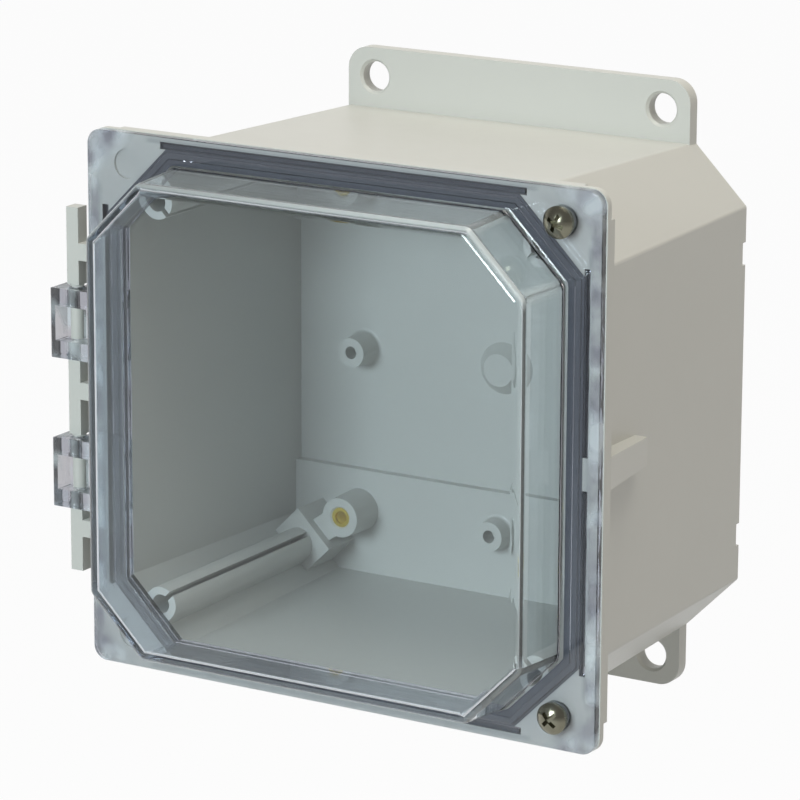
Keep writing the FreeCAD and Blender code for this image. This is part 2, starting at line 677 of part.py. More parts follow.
def small_boss_root(edge):
    """True for the ring where a plain boss meets the floor or one of its raised bands."""
    if edge.Curve.TypeId != "Part::GeomCircle":
        return False
    centre, ring = edge.Curve.Center, edge.Curve.Radius
    on_floor = at_depth(edge, floor_depth) or at_depth(edge, band_depth)
    return (on_floor and min(abs(centre.x), abs(centre.z)) < 1e-4
            and number(s.small_boss_radius) < ring < 2 * number(s.small_boss_radius))


def base_channels(body):
    """Everything cut into the face of the rim."""
    face = front_sketch(body, "channel_outlines", s.base_depth)
    half = s.channel_width / 2
    side = s.body_front_width / 2 + s.channel_offset
    top = s.body_front_height / 2 + s.channel_offset
    for line in channel_lines():
        rectangle(face, *channel_box(line, side, top, half, Size(0.0, "0.0")))
    pocket(body, "channels", face, s.channel_depth)
    rooms = front_sketch(body, "retainer_rooms", s.base_depth)
    for k in (1, -1):
        circle(rooms, screw_across, k * screw_up, s.retainer_radius + s.retainer_room)
    pocket(body, "retainer_recesses", rooms, s.base_depth - insert_face)
    seats = front_sketch(body, "corner_insert_seats", insert_face)
    for k in (1, -1):
        circle(seats, screw_across, k * screw_up, s.corner_insert_radius + s.insert_fit)
    pocket(body, "corner_insert_bores", seats, s.corner_insert_length)
    spare = front_sketch(body, "spare_recess_rings", s.base_depth)
    for k in (1, -1):
        circle(spare, -screw_across, k * screw_up, s.retainer_radius + s.retainer_room)
    pocket(body, "spare_recesses", spare, s.spare_recess)


def channel_lines():
    """Name of each straight channel: the right one is split at the latch boss."""
    return ["top", "bottom", "left", "right_upper", "right_lower"]


def channel_box(line, side, top, half, shorter):
    """Left, right, low and high of a channel, or of the rib that hangs in it."""
    run_x = s.body_front_width / 2 - s.body_front_leg + s.channel_overrun - shorter
    run_z = s.body_front_height / 2 - s.body_front_leg + s.channel_overrun - shorter
    land = s.latch_boss_height / 2 + shorter
    boxes = {
        "top": (-run_x, run_x, top - half, top + half),
        "bottom": (-run_x, run_x, -top - half, -top + half),
        "left": (-side - half, -side + half, -run_z, run_z),
        "right_upper": (side - half, side + half, s.latch_boss_up + land, run_z),
        "right_lower": (side - half, side + half, -run_z, s.latch_boss_up - land),
    }
    return boxes[line]


def make_cover():
    """Clear cover: flange, raised hollow window and two snap knuckles."""
    body = new_body("cover")
    plate = front_sketch(body, "flange_outline", cover_back)
    rounded_rectangle(plate, cover_half_width, cover_half_height, s.cover_corner_radius)
    pad(body, "flange", plate, s.flange_thickness)
    soften(body, "flange_edge", "Fillet", s.flange_edge_radius,
           lambda edge: at_depth(edge, cover_front))
    cover_window(body)
    cover_knuckles(body)
    cover_back_face(body)
    return body


def window_octagon(sketch, depth, inset):
    """The raised window's section at a depth, moved in by an inset."""
    share = (window_front - depth) / s.window_rise
    half_width = (window_front_width + (window_root_width - window_front_width) * share) / 2
    half_height = (window_front_height + (window_root_height - window_front_height) * share) / 2
    leg = window_front_leg + (window_root_leg - window_front_leg) * share
    octagon(sketch, half_width - inset, half_height - inset, leg - inset * LEG_LOSS)


def cover_window(body):
    root = front_sketch(body, "window_root", cover_front)
    window_octagon(root, cover_front, 0.0)
    front = front_sketch(body, "window_face", window_front)
    window_octagon(front, window_front, 0.0)
    loft(body, "window", root, front)
    soften(body, "window_edges", "Fillet", s.window_edge_radius,
           lambda edge: max(-p.y for p in ends(edge)) > number(window_front) - 1e-4)
    inner_depth = window_front - s.window_wall
    inner_root = front_sketch(body, "window_mouth", cover_back)
    window_octagon(inner_root, cover_back, s.window_wall)
    inner_front = front_sketch(body, "window_inner_face", inner_depth)
    window_octagon(inner_front, inner_depth, s.window_wall)
    loft(body, "window_hollow", inner_root, inner_front, cut=True)
    soften(body, "window_inner_edges", "Fillet", s.window_inner_radius,
           lambda edge: at_depth(edge, inner_depth))
    soften(body, "window_foot", "Fillet", s.window_foot_radius,
           lambda edge: at_depth(edge, cover_front)
           and max(abs(p.x) for p in ends(edge)) < number(window_root_width) / 2 + 1e-4
           and max(abs(p.z) for p in ends(edge)) < number(window_root_height) / 2 + 1e-4)


def cover_knuckles(body):
    outer, inner = pin_x - s.knuckle_outer, pin_x + s.knuckle_inner
    half = s.knuckle_height / 2
    blocks = front_sketch(body, "knuckle_outlines", cover_front)
    bridges = front_sketch(body, "bridge_outlines", cover_front)
    windows = front_sketch(body, "knuckle_window_outlines", cover_front)
    for middle in knuckle_middles():
        rectangle(blocks, outer, inner, middle - half, middle + half)
        rectangle(bridges, inner - REACH, -cover_half_width + REACH, middle - half, middle + half)
        rectangle(windows, outer + s.knuckle_wall, -cover_half_width - s.cover_inset,
                  middle - s.knuckle_window / 2, middle + s.knuckle_window / 2)
    pad(body, "bridges", bridges, s.flange_thickness, to_wall=True)
    pad(body, "knuckles", blocks, s.knuckle_depth, to_wall=True)
    soften(body, "knuckle_edges", "Fillet", s.knuckle_edge_radius,
           lambda edge: all(abs(p.x - number(outer)) < 1e-4 for p in ends(edge)))
    pocket(body, "knuckle_windows", windows, cover_front - pin_depth)
    bore = sketch_on(body, "XY_Plane", "knuckle_bore_ring")
    circle(bore, pin_x, -pin_depth, s.hinge_pin_radius + s.hinge_clearance)
    pocket(body, "knuckle_bores", bore, rim_height, middle=True)
    slot = sketch_on(body, "XY_Plane", "snap_slot_outline")
    rectangle(slot, pin_x - s.snap_slot / 2, pin_x + s.snap_slot / 2, -pin_depth,
              -pin_depth + s.knuckle_depth)
    pocket(body, "snap_slots", slot, rim_height, middle=True)


def cover_back_face(body):
    """Gasket groove, ribs and screw holes, worked from the back of the flange."""
    groove = front_sketch(body, "gasket_groove_outline", cover_back)
    gasket_ring(groove)
    pocket(body, "gasket_groove", groove, s.gasket_groove, to_front=True)
    ribs = front_sketch(body, "rib_outlines", cover_back)
    side = s.body_front_width / 2 + s.channel_offset
    top = s.body_front_height / 2 + s.channel_offset
    end_gap = (s.channel_width - s.rib_width) / 2
    for line in channel_lines():
        if line != "left":
            rectangle(ribs, *channel_box(line, side, top, s.rib_width / 2, end_gap))
    pad(body, "ribs", ribs, s.rib_height, to_wall=True)
    holes = front_sketch(body, "screw_hole_rings", cover_front)
    for k in (1, -1):
        circle(holes, screw_across, k * screw_up, s.screw_hole_radius)
    pocket(body, "screw_holes", holes, s.flange_thickness)


def gasket_ring(sketch):
    """Outer and inner line of the gasket, beside the body's outer line."""
    for shift in (s.gasket_inset - s.gasket_width / 2, s.gasket_inset + s.gasket_width / 2):
        body_octagon(sketch, s.base_depth, shift)


def make_gasket():
    body = new_body("gasket")
    ring = front_sketch(body, "gasket_outline", s.base_depth + s.gasket_relief)
    gasket_ring(ring)
    pad(body, "gasket_ring", ring, s.seat_gap + s.gasket_groove - s.gasket_relief)
    return body


def make_screw(label, z, turn):
    """Pan head machine screw with a cross recess; its own origin is the seat under the head."""
    body = new_body(label)
    profile = sketch_on(body, "XY_Plane", f"{label}_profile")
    tip, shank = s.screw_length, s.screw_shank_radius
    head, edge = s.screw_head_radius, -s.screw_head_edge
    crown = edge - s.screw_head_dome
    dome = (head * head + s.screw_head_dome * s.screw_head_dome) / (2 * s.screw_head_dome)
    bevel = shank / 4
    axis = Size(0.0, "0.0")
    points = [(axis, crown), (axis, tip), (shank - bevel, tip), (shank, tip - bevel),
              (shank, axis), (head, axis), (head, edge)]
    lines = [profile.addGeometry(Part.LineSegment(vector(*a), vector(*b)), False)
             for a, b in zip(points, points[1:])]
    for line, start in zip(lines, points):
        fix_point(profile, line, 1, *start)
    fix_point(profile, lines[-1], 2, *points[-1])
    for line, following in zip(lines, lines[1:]):
        profile.addConstraint(Sketcher.Constraint("Coincident", line, 2, following, 1))
    sweep = math.asin(number(head) / number(dome))
    ring = Part.Circle(vector(0, crown + dome), FreeCAD.Vector(0, 0, 1), number(dome))
    arc = profile.addGeometry(Part.ArcOfCircle(ring, -math.pi / 2, sweep - math.pi / 2), False)
    profile.addConstraint(Sketcher.Constraint("Coincident", arc, 1, lines[0], 1))
    profile.addConstraint(Sketcher.Constraint("Coincident", arc, 2, lines[-1], 2))
    fix_size(profile, "Radius", dome, arc)
    turned = body.newObject("PartDesign::Revolution", f"{label}_turned")
    turned.Profile = profile
    turned.ReferenceAxis = (profile, ["V_Axis"])
    turned.Angle = 360
    built(body, turned, True)
    cross = front_sketch(body, f"{label}_cross", -crown)
    arm, half = s.screw_recess_arm, s.screw_recess_width / 2
    outline(cross, [
        (arm, -half), (arm, half), (half, half), (half, arm), (-half, arm), (-half, half),
        (-arm, half), (-arm, -half), (-half, -half), (-half, -arm), (half, -arm), (half, -half),
    ])
    pocket(body, f"{label}_recess", cross, s.screw_recess_depth)
    place(body, screw_across, cover_front + s.seal_washer_thickness, z)
    body.Placement.Rotation = FreeCAD.Rotation(FreeCAD.Vector(0, 1, 0), number(turn))
    return body


def place(piece, x, depth, z):
    bind(piece, "Placement.Base.x", x)
    bind(piece, "Placement.Base.y", -depth)
    bind(piece, "Placement.Base.z", z)


def make_ring(label, radius, bore, length, x, depth, z):
    """Ring or sleeve whose axis points to the front, its back end at the given depth."""
    parts = []
    for suffix, size, extra in (("outside", radius, 0.0), ("bore", bore, REACH)):
        part = doc.addObject("Part::Cylinder", f"{label}_{suffix}")
        bind(part, "Radius", size)
        bind(part, "Height", length + 2 * extra)
        part.Placement.Base.z = -extra
        parts.append(part)
    ring = doc.addObject("Part::Cut", label)
    ring.Label = label
    ring.Base, ring.Tool = parts
    ring.Placement.Rotation = FreeCAD.Rotation(FreeCAD.Vector(1, 0, 0), 90)
    place(ring, x, depth, z)
    return ring


def make_fasteners():
    """Screws, washers, retainers and threaded inserts."""
    pieces = []
    for name, k, turn in (("upper", 1, s.screw_turn_upper), ("lower", -1, s.screw_turn_lower)):
        z = k * screw_up
        pieces.append(make_screw(f"cover_screw_{name}", z, turn))
        pieces.append(make_ring(f"sealing_washer_{name}", s.seal_washer_radius, s.seal_washer_bore,
                                s.seal_washer_thickness, screw_across, cover_front, z))
        pieces.append(make_ring(f"screw_retainer_{name}", s.retainer_radius, s.retainer_bore,
                                s.retainer_thickness, screw_across,
                                cover_back - s.retainer_thickness, z))
        pieces.append(make_ring(f"cover_insert_{name}", s.corner_insert_radius, s.corner_insert_bore,
                                s.corner_insert_length, screw_across,
                                insert_face - s.corner_insert_length, z))
    sides = {1: "right", -1: "left"}
    heights = {1: "upper", -1: "lower"}
    for i, k, x, z in four_ways(s.panel_pitch_across / 2, s.panel_pitch_up / 2):
        pieces.append(make_ring(f"panel_insert_{heights[k]}_{sides[i]}", s.panel_insert_radius,
                                s.panel_insert_bore, s.panel_insert_length, x,
                                s.panel_boss_top - s.panel_insert_sink - s.panel_insert_length, z))
    return pieces


def check_and_write(pieces):
    """Stop on any failed object or bad shape, then write one STEP file for each piece."""
    doc.recompute()
    failed = [item.Name for item in doc.Objects if {"Invalid", "Error"} & set(item.State)]
    if failed:
        raise RuntimeError(f"failed objects: {failed}")
    for piece in pieces:
        if piece.Shape.isNull() or not piece.Shape.isValid():
            raise RuntimeError(f"{piece.Label} has a bad shape")
        if len(piece.Shape.Solids) != 1:
            raise RuntimeError(f"{piece.Label} has {len(piece.Shape.Solids)} solids")
    os.makedirs("parts", exist_ok=True)
    for piece in pieces:
        piece.Shape.exportStep(f"parts/{piece.Label}.step")
        print(f"{piece.Label}: {piece.Shape.Volume / 1000:.2f} cm3")


check_and_write([make_base(), make_cover(), make_gasket()] + make_fasteners())
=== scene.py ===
"""Hinged clear-cover enclosure: finishes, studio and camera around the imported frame."""

import json
import logging
import math
from dataclasses import dataclass
from enum import Enum
from functools import reduce
from typing import Any, Mapping

import bmesh
import bpy
from mathutils import Matrix, Vector
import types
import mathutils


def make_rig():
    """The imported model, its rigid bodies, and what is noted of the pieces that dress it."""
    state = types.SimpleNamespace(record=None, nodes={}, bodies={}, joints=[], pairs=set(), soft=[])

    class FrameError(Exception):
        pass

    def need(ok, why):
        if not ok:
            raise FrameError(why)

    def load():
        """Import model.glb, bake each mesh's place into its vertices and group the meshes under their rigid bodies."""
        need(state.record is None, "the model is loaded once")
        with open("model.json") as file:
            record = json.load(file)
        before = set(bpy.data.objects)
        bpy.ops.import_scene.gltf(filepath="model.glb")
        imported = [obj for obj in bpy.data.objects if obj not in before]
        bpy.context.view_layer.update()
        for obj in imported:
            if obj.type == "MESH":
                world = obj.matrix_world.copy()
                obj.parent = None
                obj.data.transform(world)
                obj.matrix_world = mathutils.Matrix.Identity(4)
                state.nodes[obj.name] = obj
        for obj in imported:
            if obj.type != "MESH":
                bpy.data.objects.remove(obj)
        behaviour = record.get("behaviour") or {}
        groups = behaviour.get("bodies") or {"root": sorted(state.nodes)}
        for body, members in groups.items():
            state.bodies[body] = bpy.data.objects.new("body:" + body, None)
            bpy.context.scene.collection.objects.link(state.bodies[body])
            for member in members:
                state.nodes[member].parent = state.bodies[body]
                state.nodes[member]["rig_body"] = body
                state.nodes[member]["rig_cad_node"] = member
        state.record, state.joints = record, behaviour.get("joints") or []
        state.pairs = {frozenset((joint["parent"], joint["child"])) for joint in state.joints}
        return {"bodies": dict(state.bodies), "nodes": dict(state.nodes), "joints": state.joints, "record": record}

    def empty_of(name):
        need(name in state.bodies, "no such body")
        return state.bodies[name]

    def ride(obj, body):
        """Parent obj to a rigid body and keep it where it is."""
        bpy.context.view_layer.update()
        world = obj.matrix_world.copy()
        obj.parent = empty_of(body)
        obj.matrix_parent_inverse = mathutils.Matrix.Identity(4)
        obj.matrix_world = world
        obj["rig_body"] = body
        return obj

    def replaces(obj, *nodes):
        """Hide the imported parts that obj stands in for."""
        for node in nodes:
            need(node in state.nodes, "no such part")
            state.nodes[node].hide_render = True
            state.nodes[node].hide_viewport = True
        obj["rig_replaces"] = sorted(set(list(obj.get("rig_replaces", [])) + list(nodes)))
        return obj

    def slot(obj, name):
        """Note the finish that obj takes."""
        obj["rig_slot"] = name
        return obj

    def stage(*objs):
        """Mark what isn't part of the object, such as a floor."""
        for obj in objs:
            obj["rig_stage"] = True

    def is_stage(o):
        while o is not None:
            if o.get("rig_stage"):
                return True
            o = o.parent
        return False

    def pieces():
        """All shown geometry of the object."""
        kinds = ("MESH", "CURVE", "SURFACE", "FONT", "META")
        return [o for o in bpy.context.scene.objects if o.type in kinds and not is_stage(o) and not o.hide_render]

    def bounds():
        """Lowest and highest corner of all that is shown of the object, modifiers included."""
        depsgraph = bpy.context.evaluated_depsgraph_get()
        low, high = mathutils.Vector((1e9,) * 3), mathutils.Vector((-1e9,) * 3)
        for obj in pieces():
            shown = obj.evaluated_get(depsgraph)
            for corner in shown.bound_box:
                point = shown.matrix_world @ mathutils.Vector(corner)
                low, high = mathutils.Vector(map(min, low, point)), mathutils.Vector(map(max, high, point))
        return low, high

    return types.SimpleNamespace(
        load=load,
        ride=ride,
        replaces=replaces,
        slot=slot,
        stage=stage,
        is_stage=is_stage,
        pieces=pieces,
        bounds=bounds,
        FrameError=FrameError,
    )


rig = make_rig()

log = logging.getLogger("enclosure")

Colour = tuple[float, float, float]
Point = tuple[float, float, float]
Span = tuple[float, float]

WHITE: Colour = (1.0, 1.0, 1.0)
MILLIMETRE = 0.001


def opaque(colour: Colour) -> tuple[float, float, float, float]:
    """The colour with full alpha, as a socket takes it."""
    return (*colour, 1.0)


@dataclass(frozen=True)
class Waves:
    """Soft noise on a surface: its waves per metre and its octaves."""

    scale: float
    detail: float


@dataclass(frozen=True)
class Relief:
    """Unevenness of a surface: the share of its effect and its height in metres."""

    strength: float
    height: float


class Grain(Enum):
    """How the tool's surface shows on a moulding."""

    SATIN = Waves(2600.0, 2.0)
    FOAM = Waves(900.0, 2.0)


@dataclass(frozen=True)
class Signal:
    """A shader socket that takes part in plain arithmetic."""

    graph: "ShaderGraph"
    socket: bpy.types.NodeSocket

    def _join(self, operation: str, first: "Signal | float", second: "Signal | float") -> "Signal":
        """Add one Math node.

        Args:
            operation: Name of the node's operation.
            first: Left value or signal.
            second: Right value or signal.

        Returns:
            The node's result.
        """
        node = self.graph.node("ShaderNodeMath", {"operation": operation}, {0: first, 1: second})
        return Signal(self.graph, node.outputs[0])

    def __add__(self, other: "Signal | float") -> "Signal":
        """Sum."""
        return self._join("ADD", self, other)

    def __radd__(self, other: float) -> "Signal":
        """Sum, the other way round."""
        return self._join("ADD", other, self)

    def __sub__(self, other: "Signal | float") -> "Signal":
        """Difference."""
        return self._join("SUBTRACT", self, other)

    def __rsub__(self, other: float) -> "Signal":
        """Difference, the other way round."""
        return self._join("SUBTRACT", other, self)

    def __mul__(self, other: "Signal | float") -> "Signal":
        """Product."""
        return self._join("MULTIPLY", self, other)

    def __rmul__(self, other: float) -> "Signal":
        """Product, the other way round."""
        return self._join("MULTIPLY", other, self)

    def greatest(self, other: "Signal | float") -> "Signal":
        """The larger of two values."""
        return self._join("MAXIMUM", self, other)

    def least(self, other: "Signal | float") -> "Signal":
        """The smaller of two values."""
        return self._join("MINIMUM", self, other)

    def size(self) -> "Signal":
        """The value without its sign."""
        return self.greatest(-1.0 * self)

    def rise(self, low: float, high: float) -> "Signal":
        """0 below low, 1 above high and straight between them."""
        return ((self - low) * (1.0 / (high - low))).greatest(0.0).least(1.0)

    def fall(self, low: float, high: float) -> "Signal":
        """1 below low, 0 above high and straight between them."""
        return 1.0 - self.rise(low, high)


class ShaderGraph:
    """The node tree of one material or world, and the Mix node's sockets for colours."""

    MIX_SHARE = 0
    MIX_FIRST = 6
    MIX_SECOND = 7
    MIX_RESULT = 2

    def __init__(self, tree: bpy.types.NodeTree) -> None:
        """Empty the tree.

        Args:
            tree: Node tree to fill.
        """
        self.tree = tree
        tree.nodes.clear()

    def node(self, kind: str, settings: Mapping[str, Any] | None = None,
             inputs: Mapping[Any, Any] | None = None) -> bpy.types.Node:
        """Add a node, its settings first and then its sockets.

        Args:
            kind: Blender's node type.
            settings: Attributes of the node.
            inputs: Values or signals by socket name or index.

        Returns:
            The new node.
        """
        made = self.tree.nodes.new(kind)
        for name, value in (settings or {}).items():
            setattr(made, name, value)
        for key, value in (inputs or {}).items():
            if isinstance(value, Signal):
                self.tree.links.new(value.socket, made.inputs[key])
            else:
                made.inputs[key].default_value = value
        return made

    def signal(self, node: bpy.types.Node, output: str | int = 0) -> Signal:
        """One output of a node, as a signal."""
        return Signal(self, node.outputs[output])

    def position(self) -> Signal:
        """The point of the surface in the part's own frame, in metres."""
        return self.signal(self.node("ShaderNodeTexCoord"), "Object")

    def axes(self) -> tuple[Signal, Signal, Signal]:
        """The x, y and z of the surface's point."""
        split = self.node("ShaderNodeSeparateXYZ", {}, {0: self.position()})
        return tuple(self.signal(split, axis) for axis in range(3))

    def ray(self, *kinds: str) -> Signal:
        """Tell rays by what they are for.

        Args:
            kinds: Kinds of ray, such as Camera or Shadow.

        Returns:
            1 for the rays of any of these kinds and 0 for the others.
        """
        path = self.node("ShaderNodeLightPath")
        return reduce(Signal.greatest, [self.signal(path, f"Is {kind} Ray") for kind in kinds])

    def noise(self, waves: Waves) -> Signal:
        """Read soft noise at the surface's point.

        Args:
            waves: Size and detail of the noise.

        Returns:
            The noise, between 0 and 1.
        """
        made = self.node("ShaderNodeTexNoise", {"noise_dimensions": "3D"}, {
            "Vector": self.position(), "Scale": waves.scale, "Detail": waves.detail})
        return self.signal(made)

    def mix_colour(self, share: Signal, first: Signal | Colour, second: Signal | Colour) -> Signal:
        """Blend two colours.

        Args:
            share: Part of the second colour.
            first: Colour or signal at share 0.
            second: Colour or signal at share 1.

        Returns:
            The blended colour.
        """
        ready = [colour if isinstance(colour, Signal) else opaque(colour)
                 for colour in (first, second)]
        made = self.node("ShaderNodeMix", {"data_type": "RGBA"}, {
            self.MIX_SHARE: share, self.MIX_FIRST: ready[0], self.MIX_SECOND: ready[1]})
        return self.signal(made, self.MIX_RESULT)

    def bump(self, height: Signal, relief: Relief) -> Signal:
        """Bend the normal for the Normal socket.

        Args:
            height: Height between 0 and 1.
            relief: Strength and height of the unevenness.

        Returns:
            The bent normal.
        """
        made = self.node("ShaderNodeBump", {}, {
            "Height": height, "Strength": relief.strength, "Distance": relief.height})
        return self.signal(made, "Normal")

    def principled(self, inputs: Mapping[str, Any]) -> Signal:
        """Blender's standard shader with these sockets."""
        return self.signal(self.node("ShaderNodeBsdfPrincipled", {}, inputs))

    def mix_shader(self, share: Signal, first: Signal, second: Signal) -> Signal:
        """A blend of two shaders, where share is the part of the second."""
        return self.signal(self.node("ShaderNodeMixShader", {}, {0: share, 1: first, 2: second}))

    def output(self, surface: Signal, volume: Signal | None = None) -> None:
        """Send shaders to the material's surface and inside."""
        sockets = {"Surface": surface} if volume is None else {"Surface": surface, "Volume": volume}
        self.node("ShaderNodeOutputMaterial", {}, sockets)


def new_material(name: str) -> tuple[bpy.types.Material, ShaderGraph]:
    """Start a material.

    Args:
        name: Name of the finish.

    Returns:
        The material and its empty graph.
    """
    material = bpy.data.materials.new(name)
    material.use_nodes = True
    return material, ShaderGraph(material.node_tree)


@dataclass(frozen=True)
class Channels:
    """The drain channels in the face of the rim, in metres, where the housing's colour paints the shade that falls in
    them. The mask fades over each span.
    """

    across: float = 0.0825
    up: float = 0.0799
    side: Span = (0.00118, 0.001239)
    end: Span = (0.068, 0.068068)
    face: Span = (-0.1051, -0.1048)
    floor: Span = (-0.1030, -0.102897)

    def mask(self, graph: ShaderGraph) -> Signal:
        """Find the walls and the floor of the channels, which get painted shade.

        Args:
            graph: Graph that the mask is for.

        Returns:
            1 in the channels and 0 elsewhere.
        """
        x, y, z = graph.axes()
        wide, high = x.size(), z.size()

        def beside(away: Signal, middle: float, along: Signal) -> Signal:
            """1 in the channels whose middle lies so far out."""
            return (away - middle).size().fall(*self.side) * along.fall(*self.end)

        sunk = y.rise(*self.face) * y.fall(*self.floor)
        return beside(wide, self.across, high).greatest(beside(high, self.up, wide)) * sunk


@dataclass(frozen=True)
class ChannelShade:
    """The strips of the cover's flange just outside the rim's channels, in metres, where the cover's colour paints the
    channels' shade.
    """

    across: float = 0.0832
    up: float = 0.0806
    inner: Span = (-0.0002, 0.0002)
    outer: Span = (0.0012, 0.0016)
    end: Span = (0.0655, 0.067465)

    def mask(self, graph: ShaderGraph) -> Signal:
        """Find the strips, where shade is painted.

        Args:
            graph: Graph that the mask is for.

        Returns:
            1 in the strips and 0 elsewhere.
        """
        x, _, z = graph.axes()
        wide, high = x.size(), z.size()

        def strip(away: Signal, start: float, along: Signal) -> Signal:
            """1 in the strips that start so far out."""
            past = away - start
            return past.rise(*self.inner) * past.fall(*self.outer) * along.fall(*self.end)

        return strip(wide, self.across, high).greatest(strip(high, self.up, wide))


@dataclass(frozen=True)
class FlangeMargin:
    """The sides and corners of the cover's flange, in metres."""

    side: Span = (0.0838, 0.0850)
    corner: Span = (0.152, 0.160)
    front: Span = (-0.1087, -0.1082)

    def mask(self, graph: ShaderGraph) -> Signal:
        """Find the margin, where the moulding is uneven.

        Args:
            graph: Graph that the mask is for.

        Returns:
            1 in the margin and 0 elsewhere.
        """
        x, y, z = graph.axes()
        edge = x.size().rise(*self.side).greatest((x.size() + z.size()).rise(*self.corner))
        return edge * y.rise(*self.front)


@dataclass(frozen=True)
class WindowEdgeFrostAndHighlight:
    """The rounded edges of the raised window, in metres, and how milky they are: partly a frosted edge and partly a
    painted highlight, strongest on the top edge and towards the upper right.

    The half sizes and the leg of the cut corners are those of the front face. A band is measured
    from the outline, which widens towards the flange by the slope, and is negative inwards.
    """

    half_width: float = 0.0745
    half_height: float = 0.0728
    leg: float = 0.0183
    front: float = -0.1295
    slope: float = 0.065
    rounding: Span = (-0.1275, -0.1268)
    root: Span = (-0.1108, -0.1098)
    front_band: Span = (-0.0016, -0.0007)
    corner_band: Span = (-0.0024, -0.0008)
    roof_band: Span = (-0.0012, -0.0006)
    upper_half: Span = (0.0, 0.001)
    side_band: Span = (-0.002, -0.001)
    cut_band: Span = (-0.003, -0.001)
    # painted highlight: the edges grow milkier towards the upper right and on the top edge, where the lamps'
    # highlights fall
    towards_upper_right: Span = (-0.03, 0.11)
    front_frost_and_highlight: float = 0.2
    upper_right_highlight: float = 0.3
    clear_on_sides: float = 0.65
    corner_frost_and_highlight: float = 0.2
    roof_highlight: float = 0.13

    def mask(self, graph: ShaderGraph) -> Signal:
        """Work out how milky the edges are, which is partly frost and partly a painted highlight.

        Args:
            graph: Graph that the mask is for.

        Returns:
            The share of milky plastic, which partly paints a highlight, from 0 to 1.
        """
        x, y, z = graph.axes()
        draft = (y - self.front) * self.slope
        side = x.size() - self.half_width - draft
        top = z.size() - self.half_height - draft
        diagonal = self.half_width + self.half_height - self.leg
        cut = (x.size() + z.size() - diagonal) * math.sqrt(0.5) - draft
        milk_and_highlight = (x + z).rise(*self.towards_upper_right) * self.upper_right_highlight + self.front_frost_and_highlight
        outline = side.greatest(top).greatest(cut)
        upright = side.rise(*self.side_band) * cut.fall(*self.cut_band)
        front = (outline.rise(*self.front_band) * y.fall(*self.rounding) * milk_and_highlight
                 * (1.0 - upright * self.clear_on_sides))
        corner = side.least(cut).greatest(top.least(cut)).rise(*self.corner_band) * self.corner_frost_and_highlight
        roof = top.rise(*self.roof_band) * z.rise(*self.upper_half) * self.roof_highlight
        return front.greatest(corner.greatest(roof) * y.fall(*self.root))


@dataclass(frozen=True)
class MouldedPlastic:
    """Opaque moulding with a fine tool grain, a slightly uneven colour and, where channels are given, painted shade in
    them.
    """

    name: str
    colour: Colour
    shade: Colour
    roughness: float
    grain: Grain = Grain.SATIN
    relief: Relief = Relief(0.35, 0.00002)
    drift: Waves = Waves(9.0, 3.0)
    peel: Waves = Waves(160.0, 1.0)
    grain_share: float = 0.6
    grain_roughness: float = 0.12
    peel_roughness: float = 0.06
    index: float = 1.56
    channels: Channels | None = None
    # painted shade: the dark colour of the channels' walls and floor stands for the shade in them
    painted_channel_shade: Colour = (0.07, 0.075, 0.09)

    def build(self) -> bpy.types.Material:
        """Make the material.

        Returns:
            The finished material.
        """
        material, graph = new_material(self.name)
        fine, peel = graph.noise(self.grain.value), graph.noise(self.peel)
        colour = graph.mix_colour(graph.noise(self.drift), self.colour, self.shade)
        # paint the shade in the channels
        if self.channels is not None:
            colour = graph.mix_colour(self.channels.mask(graph), colour, self.painted_channel_shade)
        uneven = (fine - 0.5) * self.grain_roughness + (peel - 0.5) * self.peel_roughness
        height = fine * self.grain_share + peel * (1.0 - self.grain_share)
        graph.output(graph.principled({
            "Base Color": colour, "Roughness": self.roughness + uneven, "IOR": self.index,
            "Normal": graph.bump(height, self.relief)}))
        return material


